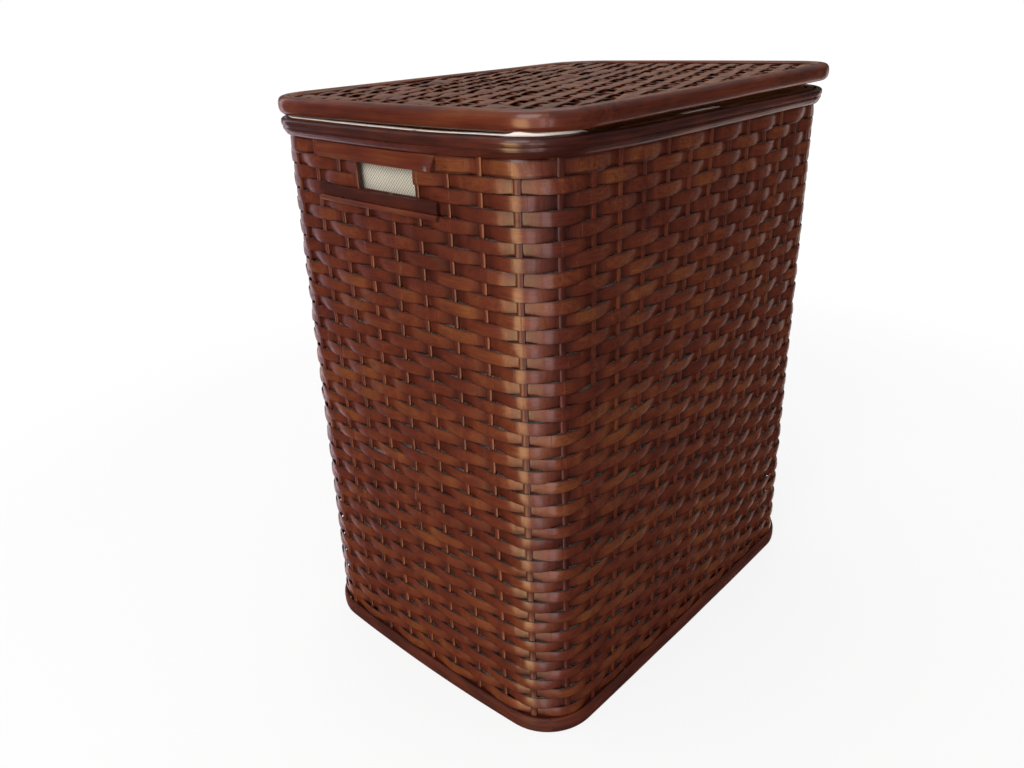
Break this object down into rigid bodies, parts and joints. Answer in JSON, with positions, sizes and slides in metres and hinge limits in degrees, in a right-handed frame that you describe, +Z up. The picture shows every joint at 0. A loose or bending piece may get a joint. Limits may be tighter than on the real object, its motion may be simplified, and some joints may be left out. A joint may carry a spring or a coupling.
{
  "type": "laundry hamper",
  "caption": "Tall rectangular woven splint laundry hamper with rounded corners, hand holes, a fabric liner bag and a lift-off woven lid.",
  "frame": {"origin": "on the floor under the middle of the basket", "axes": "+Z up, X along the long side, Y along the short side; the front is -Y and the left is -X"},
  "size_m": [0.5256, 0.385, 0.61],
  "materials": {
    "weavers": "mahogany stain under semi-gloss lacquer",
    "stakes": "mahogany stain under semi-gloss lacquer",
    "hoops": "dark mahogany stain, satin lacquer",
    "lid_hoops": "mahogany stain, satin lacquer, grain lengthwise",
    "lid_splints": "mahogany stain under semi-gloss lacquer",
    "floor_splints": "mahogany stain, thin lacquer",
    "battens": "mahogany stain, sawn",
    "handle_battens": "dark mahogany stain, satin lacquer",
    "brads": "plain small nails",
    "liner_cloth": "off-white cotton with a small diamond weave"
  },
  "bodies": {
    "basket": {"front_stakes": "stakes", "back_stakes": "stakes", "left_stakes": "stakes", "right_stakes": "stakes", "corner_stakes": "stakes", "outer_weavers": "weavers", "inner_weavers": "weavers", "rim_upper_hoop": "hoops", "rim_lower_band": "hoops", "rim_inner_band": "hoops", "base_hoop": "hoops", "base_inner_band": "hoops", "floor_long_splints": "floor_splints", "floor_cross_splints": "floor_splints", "floor_battens": "battens", "left_handle_upper_batten": "handle_battens", "left_handle_lower_batten": "handle_battens", "left_handle_bead": "handle_battens", "left_handle_inner_battens": "handle_battens", "right_handle_upper_batten": "handle_battens", "right_handle_lower_batten": "handle_battens", "right_handle_bead": "handle_battens", "right_handle_inner_battens": "handle_battens", "rim_brads": "brads", "base_brads": "brads", "liner_bag": "liner_cloth", "liner_hem": "liner_cloth"},
    "lid": {"lid_hoop": "lid_hoops", "lid_edge_band": "lid_hoops", "lid_trim": "lid_hoops", "lid_locating_ring": "lid_hoops", "lid_long_splints": "lid_splints", "lid_cross_splints": "lid_splints", "lid_battens": "battens", "lid_brads": "brads"}
  },
  "joints": [
    {"name": "lid_lift", "type": "slide", "parent": "basket", "child": "lid", "axis": [0, 0, 1], "range_m": [0, 0.25]}
  ]
}
